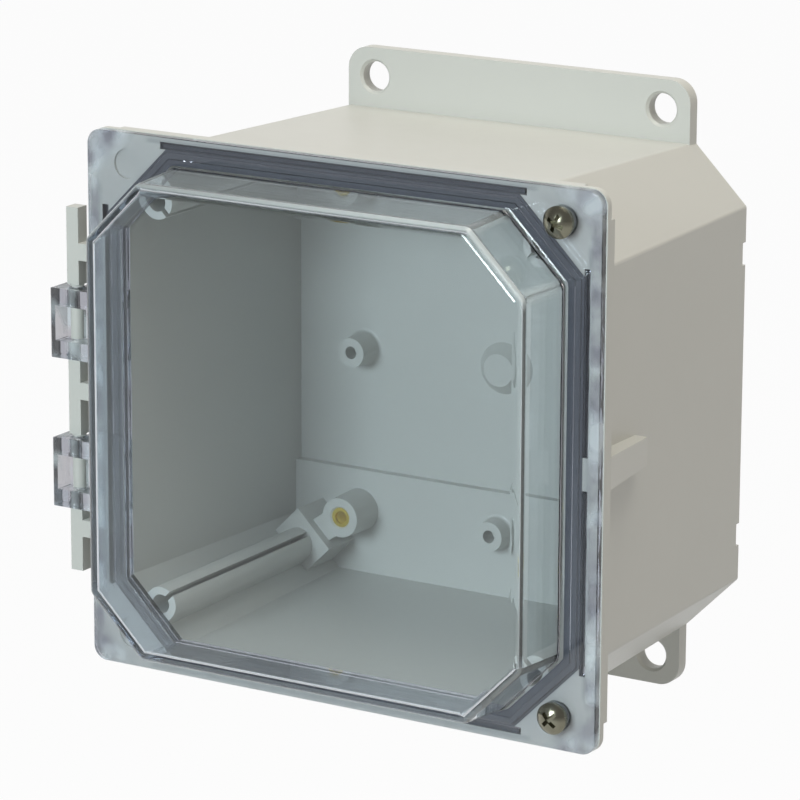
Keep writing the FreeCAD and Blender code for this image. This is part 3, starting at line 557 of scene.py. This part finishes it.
@dataclass(frozen=True)
class ClearPlastic:
    """Clear polycarbonate that bends light and lets the lamps through to what is behind it. Its colour paints shade
    beside the rim's channels, and its milky window edges partly paint a highlight.
    """

    name: str = "clear_polycarbonate"
    index: float = 1.586
    roughness: float = 0.008
    haze_roughness: float = 0.012
    tint: Colour = (0.938, 0.962, 0.98)
    hazy_tint: Colour = (0.91924, 0.94276, 0.9604)
    through: Colour = (0.97, 0.995, 1.0)
    depth_colour: Colour = (0.1, 0.2, 0.4)
    depth_density: float = 34.0
    flange: Span = (-0.1098, -0.1092)
    flange_tint: Colour = (0.845, 0.83, 0.855)
    channel_shade: ChannelShade = ChannelShade()
    # painted shade: darker colour for the strips beside the rim's channels
    painted_strip_shade: Colour = (0.68, 0.68, 0.71)
    knuckles: Span = (0.0886, 0.0889)
    knuckle_tint: Colour = (0.56, 0.55, 0.57)
    haze: Waves = Waves(14.0, 2.0)
    lumps: Waves = Waves(120.0, 2.0)
    patches: Waves = Waves(110.0, 1.0)
    lump_relief: Relief = Relief(0.5, 0.0008)
    margin: FlangeMargin = FlangeMargin()
    stain: Colour = (0.46, 0.43, 0.51)
    stained: Span = (0.38, 0.6)
    least_stain: float = 0.15
    stain_range: float = 0.75
    window_edge_frost_and_highlight: WindowEdgeFrostAndHighlight = WindowEdgeFrostAndHighlight()
    # milky colour for the flange's uneven patches and for the window's edges, where it partly paints a highlight
    milk_and_highlight: Colour = (0.82, 0.9, 0.93)
    milk_roughness: float = 0.3
    milky: Span = (0.48, 0.68)
    most_milk: float = 0.33

    def _colour(self, graph: ShaderGraph, haze: Signal, stained: Signal) -> Signal:
        """Tint the parts of the cover and paint shade in the strips beside the rim's channels.

        Args:
            graph: Graph of the material.
            haze: Slow change of the window's tint.
            stained: How stained the plastic is.

        Returns:
            The colour that light takes on at a surface.
        """
        x, y, _ = graph.axes()
        low = y.rise(*self.flange)
        window = graph.mix_colour(haze, self.tint, self.hazy_tint)
        flange = graph.mix_colour(low, window, self.flange_tint)
        # painted shade in the strips beside the rim's channels
        beside = low * self.channel_shade.mask(graph)
        shaded = graph.mix_colour(beside, flange, self.painted_strip_shade)
        blotched = graph.mix_colour(stained, shaded, self.stain)
        return graph.mix_colour((-1.0 * x).rise(*self.knuckles), blotched, self.knuckle_tint)

    def build(self) -> bpy.types.Material:
        """Make the material.

        Returns:
            The finished material.
        """
        material, graph = new_material(self.name)
        margin = self.margin.mask(graph)
        haze, lumps = graph.noise(self.haze), graph.noise(self.lumps)
        stained = margin * (lumps.rise(*self.stained) * self.stain_range + self.least_stain)
        clear = graph.principled({
            "Base Color": self._colour(graph, haze, stained),
            "Roughness": self.roughness + haze * self.haze_roughness,
            "IOR": self.index, "Transmission Weight": 1.0,
            "Normal": graph.bump(lumps * margin, self.lump_relief)})
        milk_and_highlight = graph.principled({
            "Base Color": opaque(self.milk_and_highlight), "Roughness": self.milk_roughness, "IOR": self.index})
        patches = margin * graph.noise(self.patches).rise(*self.milky) * self.most_milk
        # the milk marks the flange's uneven patches and paints a highlight on the window's edges
        seen = graph.mix_shader(patches.greatest(self.window_edge_frost_and_highlight.mask(graph)), clear, milk_and_highlight)
        through = graph.signal(graph.node("ShaderNodeBsdfTransparent", {}, {
            "Color": opaque(self.through)}))
        depth = graph.signal(graph.node("ShaderNodeVolumeAbsorption", {}, {
            "Color": opaque(self.depth_colour), "Density": self.depth_density}))
        graph.output(graph.mix_shader(graph.ray("Shadow", "Diffuse"), seen, through), depth)
        return material


@dataclass(frozen=True)
class Metal:
    """Turned or plated metal with fine lines and small stains."""

    name: str
    colour: Colour
    stain: Colour
    roughness: float
    metallic: float = 1.0
    cloud: Waves = Waves(420.0, 3.0)
    lines: Waves = Waves(4000.0, 2.0)
    relief: Relief = Relief(0.25, 0.00001)
    most_stain: float = 0.6
    stain_roughness: float = 0.1

    def build(self) -> bpy.types.Material:
        """Make the material.

        Returns:
            The finished material.
        """
        material, graph = new_material(self.name)
        cloud = graph.noise(self.cloud)
        graph.output(graph.principled({
            "Base Color": graph.mix_colour(cloud * self.most_stain, self.colour, self.stain),
            "Metallic": self.metallic, "Roughness": self.roughness + cloud * self.stain_roughness,
            "Normal": graph.bump(graph.noise(self.lines), self.relief)}))
        return material


@dataclass(frozen=True)
class Finishes:
    """Every finish of the part."""

    housing: MouldedPlastic = MouldedPlastic(
        "grey_polycarbonate", (0.565, 0.568, 0.54), (0.53, 0.536, 0.508), roughness=0.42,
        channels=Channels())
    clear: ClearPlastic = ClearPlastic()
    gasket: MouldedPlastic = MouldedPlastic(
        "poured_gasket", (0.06, 0.066, 0.08), (0.085, 0.09, 0.11), roughness=0.75,
        grain=Grain.FOAM, relief=Relief(0.35, 0.0001))
    nylon: MouldedPlastic = MouldedPlastic(
        "grey_nylon", (0.4, 0.42, 0.43), (0.36, 0.38, 0.39), roughness=0.4)
    steel: Metal = Metal("screw_steel", (0.33, 0.32, 0.25), (0.15, 0.14, 0.1), roughness=0.14)
    brass: Metal = Metal(
        "insert_brass", (0.97, 0.76, 0.14), (0.5, 0.35, 0.03), roughness=0.16, metallic=0.65)

    def dress(self, pieces: Mapping[str, bpy.types.Object]) -> None:
        """Give each piece its finish.

        Args:
            pieces: CAD nodes and added pieces by name.
        """
        by_word = (("insert", self.brass), ("thread", self.brass), ("screw_retainer", self.nylon),
                   ("washer", self.nylon), ("screw", self.steel), ("gasket", self.gasket),
                   ("cover", self.clear), ("base", self.housing))
        built: dict[str, bpy.types.Material] = {}
        for name, piece in pieces.items():
            finish = next(finish for word, finish in by_word if word in name)
            if finish.name not in built:
                built[finish.name] = finish.build()
            piece.data.materials.clear()
            piece.data.materials.append(built[finish.name])
            log.info("%s has the finish %s", name, finish.name)


def ring_faces(rings: int, corners: int, closed: bool) -> list[tuple[int, ...]]:
    """Join rings of points that follow each other.

    Args:
        rings: Number of rings.
        corners: Points in each ring.
        closed: Whether the last ring joins the first. Otherwise both ends are capped.

    Returns:
        Faces as vertex numbers.
    """
    faces: list[tuple[int, ...]] = []
    for ring in range(rings if closed else rings - 1):
        here, there = ring * corners, (ring + 1) % rings * corners
        faces += [(here + c, here + (c + 1) % corners, there + (c + 1) % corners, there + c)
                  for c in range(corners)]
    if not closed:
        last = range((rings - 1) * corners, rings * corners)
        faces += [tuple(range(corners)), tuple(reversed(last))]
    return faces


def new_piece(name: str, rings: list[list[Point]], closed: bool, body: str,
              slot: str) -> bpy.types.Object:
    """Make a piece that moves with a body.

    Args:
        name: Name of the piece.
        rings: Rings of vertices in the part's frame, in metres.
        closed: Whether the last ring joins the first.
        body: CAD body that carries the piece.
        slot: Material slot of the record.

    Returns:
        The new object.
    """
    mesh = bpy.data.meshes.new(name)
    mesh.from_pydata([point for ring in rings for point in ring], [],
                     ring_faces(len(rings), len(rings[0]), closed))
    shell = bmesh.new()
    shell.from_mesh(mesh)
    bmesh.ops.recalc_face_normals(shell, faces=shell.faces)
    shell.to_mesh(mesh)
    shell.free()
    piece = bpy.data.objects.new(name, mesh)
    bpy.context.scene.collection.objects.link(piece)
    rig.ride(piece, body)
    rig.slot(piece, slot)
    return piece


@dataclass(frozen=True)
class GasketBead:
    """Poured bead: its foot spreads over the flange's back and its ridge fills the groove.

    The section's points give the inset from the body's outer line and the depth from the wall.
    """

    half_width: float = 0.0823
    half_height: float = 0.0797
    leg: float = 0.0218
    section: tuple[tuple[float, float], ...] = (
        (0.00070, 0.10530), (0.00070, 0.10546), (0.00156, 0.10547), (0.00160, 0.10630),
        (0.00175, 0.10645), (0.00325, 0.10645), (0.00340, 0.10630), (0.00344, 0.10547),
        (0.00600, 0.10546), (0.00610, 0.10536), (0.00590, 0.10528))

    def _corners(self, inset: float, depth: float) -> list[Point]:
        """Place the octagon's corners.

        Args:
            inset: Distance inwards from the body's outer line.
            depth: Distance in front of the wall.

        Returns:
            The eight corners in order.
        """
        w, h = self.half_width - inset, self.half_height - inset
        leg = self.leg - inset * (2.0 - math.sqrt(2.0))
        flat = [(w, leg - h), (w, h - leg), (w - leg, h), (leg - w, h),
                (-w, h - leg), (-w, leg - h), (leg - w, -h), (w - leg, -h)]
        return [(x, -depth, z) for x, z in flat]

    def build(self) -> bpy.types.Object:
        """Make the bead, in place of the plain ring.

        Returns:
            The bead's object.
        """
        rings = [self._corners(inset, depth) for inset, depth in self.section]
        bead = new_piece("gasket_bead", rings, True, "cover", "dark_gasket")
        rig.replaces(bead, "gasket")
        return bead


def half_spacing(record: Mapping[str, Any], mount: str) -> tuple[float, float]:
    """Read how far a mount's four holes lie from its middle.

    Args:
        record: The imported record.
        mount: Name of the mount.

    Returns:
        Half the spacing across and half the spacing up, in metres.
    """
    sizes = next(row["dims"] for row in record["mounts"] if row["name"] == mount)
    return sizes["spacing_x_mm"] / 2.0 * MILLIMETRE, sizes["spacing_y_mm"] / 2.0 * MILLIMETRE


@dataclass(frozen=True)
class InsertThreads:
    """Helical thread ridges in the bores of the four panel inserts."""

    across: float
    up: float
    bore: float = 0.00216
    crest: float = 0.00168
    pitch: float = 0.0008
    foot_share: float = 0.42
    first_depth: float = 0.0160
    turns: int = 8
    steps: int = 28

    def _ridge(self, x: float, z: float) -> list[list[Point]]:
        """Wind the ridge of one insert.

        Args:
            x: Place of the insert's middle across.
            z: Place of the insert's middle up.

        Returns:
            The ridge's triangular sections, from the wall's side forward.
        """
        foot = self.foot_share * self.pitch
        section = ((self.bore, -foot), (self.crest, 0.0), (self.bore, foot))
        rings: list[list[Point]] = []
        for step in range(self.turns * self.steps + 1):
            angle = 2.0 * math.pi * step / self.steps
            depth = self.first_depth + self.pitch * step / self.steps
            rings.append([(x + radius * math.cos(angle), -depth - shift,
                           z + radius * math.sin(angle)) for radius, shift in section])
        return rings

    def build(self) -> list[bpy.types.Object]:
        """Make the four ridges.

        Returns:
            The ridges' objects.
        """
        ridges: list[bpy.types.Object] = []
        for side, x in (("left", -self.across), ("right", self.across)):
            for level, z in (("upper", self.up), ("lower", -self.up)):
                ridges.append(new_piece(f"thread_{level}_{side}", self._ridge(x, z), False,
                                        "base", "insert_brass"))
        return ridges


@dataclass(frozen=True)
class PhotoCamera:
    """Camera that stands where the photograph was taken from.

    Angles are in degrees. The axis of the box, front_depth before the wall, lies right and up of
    the picture's middle by the metres given.
    """

    azimuth: float = 31.4032
    elevation: float = 14.4588
    roll: float = 0.2254
    right: float = -0.018823
    up: float = -0.010786
    distance: float = 1.29173
    focal_pixels: float = 4414.39
    frame_pixels: float = 800.0
    front_depth: float = 0.108
    sensor_width: float = 36.0
    clip: Span = (0.05, 60.0)

    def build(self) -> bpy.types.Object:
        """Make the camera and use it for the scene.

        Returns:
            The camera object.
        """
        turn, tilt, roll = (math.radians(v) for v in (self.azimuth, self.elevation, self.roll))
        back = Vector((math.sin(turn) * math.cos(tilt), -math.cos(turn) * math.cos(tilt),
                       math.sin(tilt)))
        level = (-back).cross(Vector((0.0, 0.0, 1.0))).normalized()
        upright = level.cross(-back)
        right = math.cos(roll) * level + math.sin(roll) * upright
        up = math.cos(roll) * upright - math.sin(roll) * level
        place = back * self.distance - right * self.right - up * self.up
        place.y -= self.front_depth
        data = bpy.data.cameras.new("photo_camera")
        data.sensor_width = self.sensor_width
        data.lens = self.focal_pixels / self.frame_pixels * self.sensor_width
        data.clip_start, data.clip_end = self.clip
        camera = bpy.data.objects.new("photo_camera", data)
        camera.matrix_world = (Matrix.Translation(place)
                               @ Matrix((right, up, back)).transposed().to_4x4())
        bpy.context.scene.collection.objects.link(camera)
        bpy.context.scene.camera = camera
        return camera


@dataclass(frozen=True)
class Softbox:
    """A large area lamp aimed at the part, with its power in watts."""

    name: str
    place: Point
    target: Point
    width: float
    height: float
    power: float
    colour: Colour

    def build(self) -> bpy.types.Object:
        """Make the lamp.

        Returns:
            The lamp's object, in its place.
        """
        data = bpy.data.lights.new(self.name, "AREA")
        data.shape = "RECTANGLE"
        data.size, data.size_y = self.width, self.height
        data.energy = self.power
        data.color = self.colour
        lamp = bpy.data.objects.new(self.name, data)
        lamp.location = self.place
        aim = Vector(self.target) - Vector(self.place)
        lamp.rotation_mode = "QUATERNION"
        lamp.rotation_quaternion = aim.to_track_quat("-Z", "Y")
        bpy.context.scene.collection.objects.link(lamp)
        return lamp


@dataclass(frozen=True)
class Studio:
    """Pale floor, white surroundings and soft lamps.

    The direction away points from the camera through the part. The surroundings on the camera's
    own side are darker in reflections and through the clear cover.
    """

    floor_drop: float = 0.45
    floor_size: float = 30.0
    floor_grey: Colour = (0.62, 0.62, 0.62)
    floor_glow: float = 0.96
    floor_fade: Span = (-0.3, 0.5)
    ambient: float = 0.27
    away: Point = (-0.5045, 0.8265, -0.2497)
    world_fade: Span = (0.1, 0.9)
    dark_side: float = 0.22
    lamps: tuple[Softbox, ...] = (
        Softbox("top_softbox", place=(0.25, -0.1, 1.2), target=(0.0, -0.05, 0.0),
                width=1.0, height=0.8, power=11.8, colour=(1.0, 0.955, 0.86)),
        Softbox("front_softbox", place=(-0.22, -1.62, 0.42), target=(0.0, -0.08, 0.0),
                width=0.6, height=0.6, power=16.0, colour=(0.87, 0.98, 1.0)),
        Softbox("right_softbox", place=(1.5, -0.5, 0.5), target=(0.05, -0.05, 0.0),
                width=0.6, height=0.8, power=3.4, colour=(1.0, 0.87, 0.7)))

    def build(self) -> None:
        """Make floor, world and lamps."""
        self._floor()
        self._world()
        for lamp in self.lamps:
            lamp.build()
            log.info("lamp %s of %.1f W", lamp.name, lamp.power)

    def _brightness(self, graph: ShaderGraph, behind: Signal, fade: Span) -> Signal:
        """Say how bright the surroundings look.

        Args:
            graph: Graph of the floor or the world.
            behind: How far behind the part a place or a direction is.
            fade: Where the surroundings turn from dark to white.

        Returns:
            1 for the camera's own rays, and for others from the dark side's brightness to 1.
        """
        around = self.dark_side + behind.rise(*fade) * (1.0 - self.dark_side)
        return graph.ray("Camera").greatest(around)

    def _floor(self) -> None:
        """Make a wide pale floor well under the part, which hangs on its wall."""
        mesh = bpy.data.meshes.new("studio_floor")
        half = self.floor_size / 2
        corners = [(-half, -half), (half, -half), (half, half), (-half, half)]
        mesh.from_pydata([(x, y, -self.floor_drop) for x, y in corners], [], [(0, 1, 2, 3)])
        floor = bpy.data.objects.new("studio_floor", mesh)
        bpy.context.scene.collection.objects.link(floor)
        material, graph = new_material("pale_floor")
        lit = graph.node("ShaderNodeBsdfDiffuse", {}, {"Color": opaque(self.floor_grey)})
        glow = graph.node("ShaderNodeEmission", {}, {"Color": opaque(WHITE), "Strength": 1.0})
        x, y, _ = graph.axes()
        behind = x * self.away[0] + y * self.away[1]
        bright = self._brightness(graph, behind, self.floor_fade)
        share = graph.ray("Camera", "Glossy", "Transmission") * bright * self.floor_glow
        graph.output(graph.mix_shader(share, graph.signal(lit), graph.signal(glow)))
        mesh.materials.append(material)
        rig.stage(floor)

    def _world(self) -> None:
        """Make surroundings that are white to look at and softer as a light."""
        world = bpy.data.worlds.new("white_studio")
        bpy.context.scene.world = world
        world.use_nodes = True
        graph = ShaderGraph(world.node_tree)
        ray = graph.signal(graph.node("ShaderNodeTexCoord"), "Generated")
        behind = graph.signal(graph.node("ShaderNodeVectorMath", {"operation": "DOT_PRODUCT"},
                                         {0: ray, 1: self.away}), "Value")
        bright = self._brightness(graph, behind, self.world_fade)
        seen = graph.ray("Camera", "Glossy", "Transmission")
        shell = graph.node("ShaderNodeBackground", {}, {
            "Color": opaque(WHITE), "Strength": self.ambient + seen * (bright - self.ambient)})
        graph.node("ShaderNodeOutputWorld", {}, {"Surface": graph.signal(shell)})


@dataclass
class SizeReport:
    """Keeps the box of the CAD model beside the box of the finished look."""

    path: str = "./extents.json"

    def start(self) -> None:
        """Note the CAD model's box."""
        self.cad = [list(corner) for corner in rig.bounds()]

    def write(self) -> None:
        """Write both boxes."""
        seen = [list(corner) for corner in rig.bounds()]
        with open(self.path, "w") as out:
            json.dump({"cad_box": self.cad, "visual_box": seen}, out)


def main() -> None:
    """Dress the frame and set up the studio."""
    logging.basicConfig(level=logging.INFO)
    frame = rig.load()
    report = SizeReport()
    report.start()
    bpy.context.scene.view_settings.view_transform = "Standard"
    pieces = dict(frame["nodes"])
    across, up = half_spacing(frame["record"], "panel_inserts")
    added = [GasketBead().build(), *InsertThreads(across, up).build()]
    pieces.update({piece.name: piece for piece in added})
    Finishes().dress(pieces)
    Studio().build()
    PhotoCamera().build()
    report.write()


if __name__ == "__main__":
    main()
